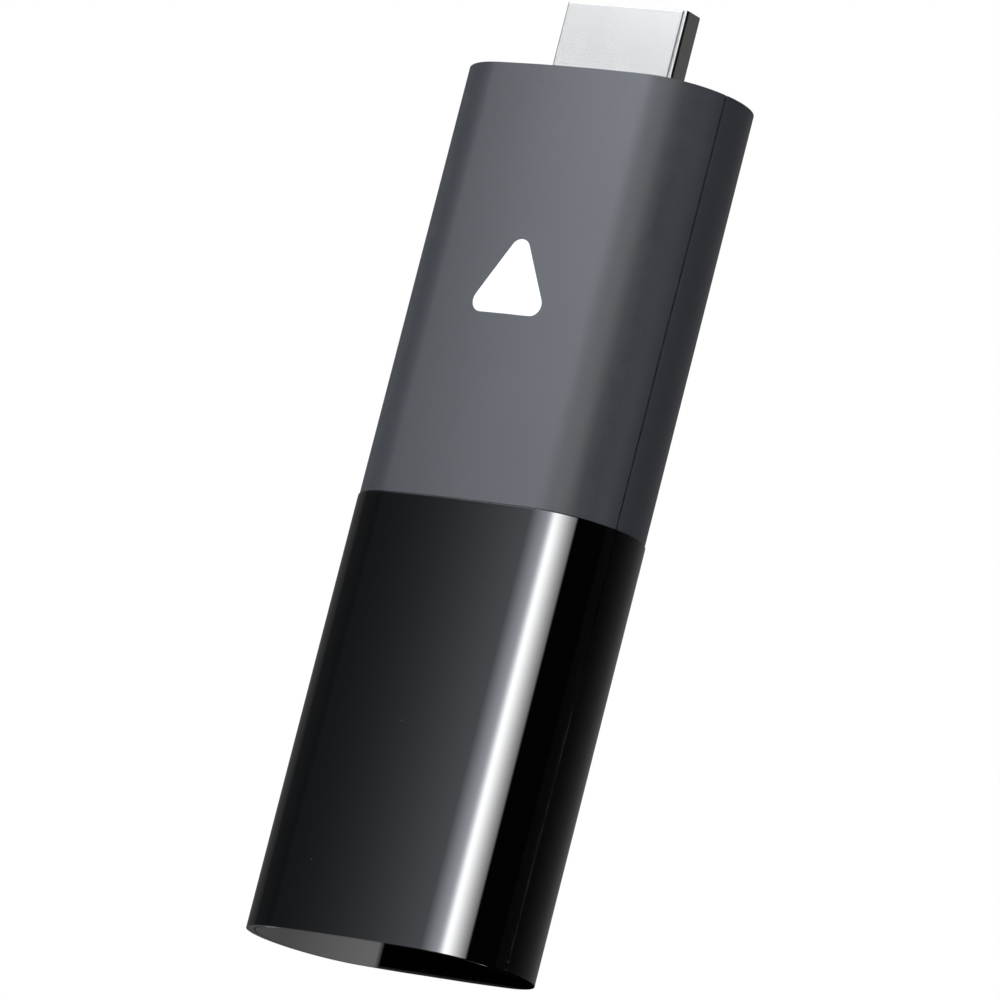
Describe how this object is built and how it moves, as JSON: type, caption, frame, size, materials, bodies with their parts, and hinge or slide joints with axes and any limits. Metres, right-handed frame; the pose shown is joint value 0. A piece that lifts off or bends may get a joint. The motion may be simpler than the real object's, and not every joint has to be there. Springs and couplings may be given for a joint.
{
  "type": "streaming media player",
  "caption": "Slim oval-section media player stick with a video plug on its nose, a satin half, a glossy half and a side power inlet.",
  "frame": {"origin": "middle of the footprint, on the surface that the flat of the back rests on", "axes": "+X across the width to the player's right when the plug points away, +Y along the length towards the plug, +Z out of the front face"},
  "size_m": [0.0302, 0.0924, 0.0152],
  "materials": {
    "matte_shell": "fine satin moulded texture, dark neutral grey",
    "gloss_shell": "polished piano black",
    "plug_steel": "bright nickel plated sheet, satin",
    "contact_gold": "thin gold plating",
    "black_resin": "moulded black resin, matte",
    "board_laminate": "green solder mask over glass laminate",
    "chip_epoxy": "moulded black epoxy",
    "shield_steel": "tin plated sheet",
    "spreader_aluminium": "plain rolled sheet",
    "thermal_pad": "soft grey-blue pad",
    "pale_ceramic": "fired ceramic, tan",
    "dark_ferrite": "sintered ferrite, dark"
  },
  "bodies": {
    "root": {"front_cover_matte": "matte_shell", "rear_cover_matte": "matte_shell", "front_cover_gloss": "gloss_shell", "rear_cover_gloss": "gloss_shell", "end_plate": "gloss_shell", "plug_shell": "plug_steel", "plug_insulator": "black_resin", "plug_contact_01": "contact_gold", "plug_contact_02": "contact_gold", "plug_contact_03": "contact_gold", "plug_contact_04": "contact_gold", "plug_contact_05": "contact_gold", "plug_contact_06": "contact_gold", "plug_contact_07": "contact_gold", "plug_contact_08": "contact_gold", "plug_contact_09": "contact_gold", "plug_contact_10": "contact_gold", "plug_contact_11": "contact_gold", "plug_contact_12": "contact_gold", "plug_contact_13": "contact_gold", "plug_contact_14": "contact_gold", "plug_contact_15": "contact_gold", "plug_contact_16": "contact_gold", "plug_contact_17": "contact_gold", "plug_contact_18": "contact_gold", "plug_contact_19": "contact_gold", "inlet_shell": "plug_steel", "inlet_tongue": "black_resin", "inlet_contact_1": "contact_gold", "inlet_contact_2": "contact_gold", "inlet_contact_3": "contact_gold", "inlet_contact_4": "contact_gold", "inlet_contact_5": "contact_gold", "main_board": "board_laminate", "processor": "chip_epoxy", "memory_chip": "chip_epoxy", "flash_chip": "chip_epoxy", "power_chip": "chip_epoxy", "wireless_chip": "chip_epoxy", "crystal": "shield_steel", "inductor_1": "dark_ferrite", "inductor_2": "dark_ferrite", "capacitor_1": "pale_ceramic", "capacitor_2": "pale_ceramic", "capacitor_3": "pale_ceramic", "front_shield": "shield_steel", "rear_shield": "shield_steel", "processor_pad": "thermal_pad", "front_pad": "thermal_pad", "rear_pad": "thermal_pad", "front_spreader": "spreader_aluminium", "rear_spreader": "spreader_aluminium", "aerial_left": "shield_steel", "aerial_right": "shield_steel"}
  },
  "joints": []
}
